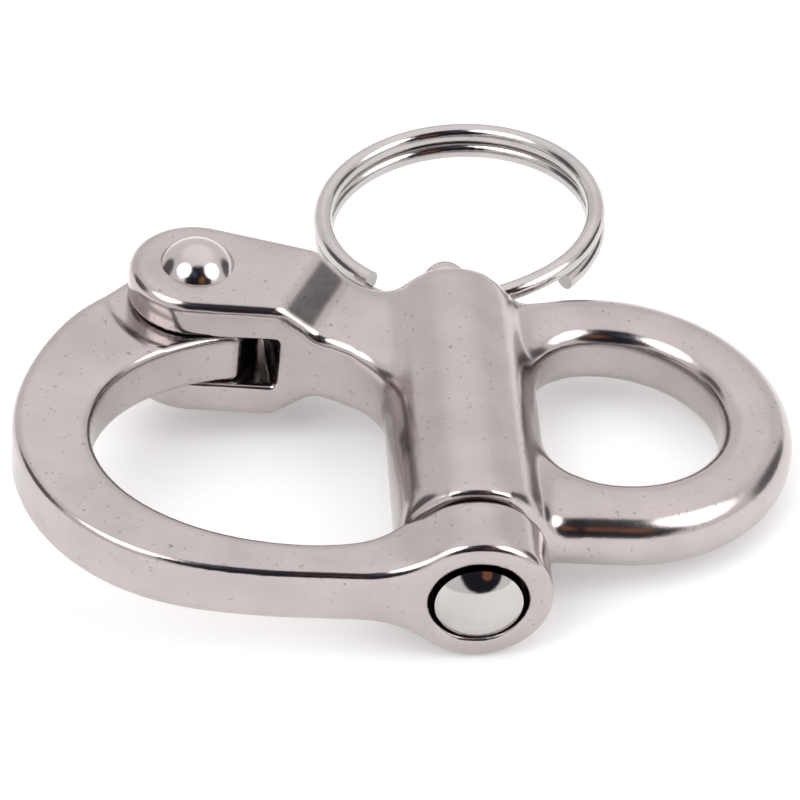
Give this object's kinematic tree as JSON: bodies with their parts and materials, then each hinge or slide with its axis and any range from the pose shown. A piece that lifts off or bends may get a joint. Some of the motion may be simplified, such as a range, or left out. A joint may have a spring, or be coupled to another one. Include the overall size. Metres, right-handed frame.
{
  "type": "fixed-eye snap shackle",
  "caption": "Fixed-eye snap shackle: cast eye and barrel, a hinged bow gate, and a sprung plunger with a split-ring pull.",
  "frame": {"origin": "centre of the eye's hole, in the shackle's middle plane", "axes": "+X from the gate towards the eye's outer end, +Y along the barrel towards the split ring, +Z through the eye, along the rivet"},
  "size_m": [0.0531, 0.0524, 0.0128],
  "materials": {
    "cast_steel": "polished casting, faint pores",
    "gate_steel": "polished casting, faint pores",
    "rivet_steel": "polished",
    "plunger_steel": "polished",
    "spring_wire": "drawn wire",
    "ring_wire": "drawn and tumbled wire"
  },
  "bodies": {
    "casting": {"shackle_body": "cast_steel", "pivot_rivet": "rivet_steel"},
    "gate": {"gate": "gate_steel"},
    "spring": {"plunger_spring": "spring_wire"},
    "plunger": {"plunger": "plunger_steel"},
    "pull_ring": {"split_ring": "ring_wire"}
  },
  "joints": [
    {"name": "gate_hinge", "type": "hinge", "parent": "casting", "child": "gate", "pos_m": [-0.02835, 0.0105, 0], "axis": [0, 0, -1], "range_deg": [0, 110]},
    {"name": "plunger_turn", "type": "hinge", "parent": "casting", "child": "spring", "pos_m": [-0.01035, 0.0022, 0], "axis": [0, 1, 0], "continuous": true},
    {"name": "plunger_pull", "type": "slide", "parent": "spring", "child": "plunger", "axis": [0, 1, 0], "range_m": [0, 0.0062], "stiffness_N_per_m": 800, "springref_m": -0.005, "deforming": ["plunger_spring"]},
    {"name": "ring_swing", "type": "hinge", "parent": "plunger", "child": "pull_ring", "pos_m": [-0.01035, 0.013, 0], "axis": [0.9903, 0, 0.1392], "range_deg": [-60, 60]}
  ]
}
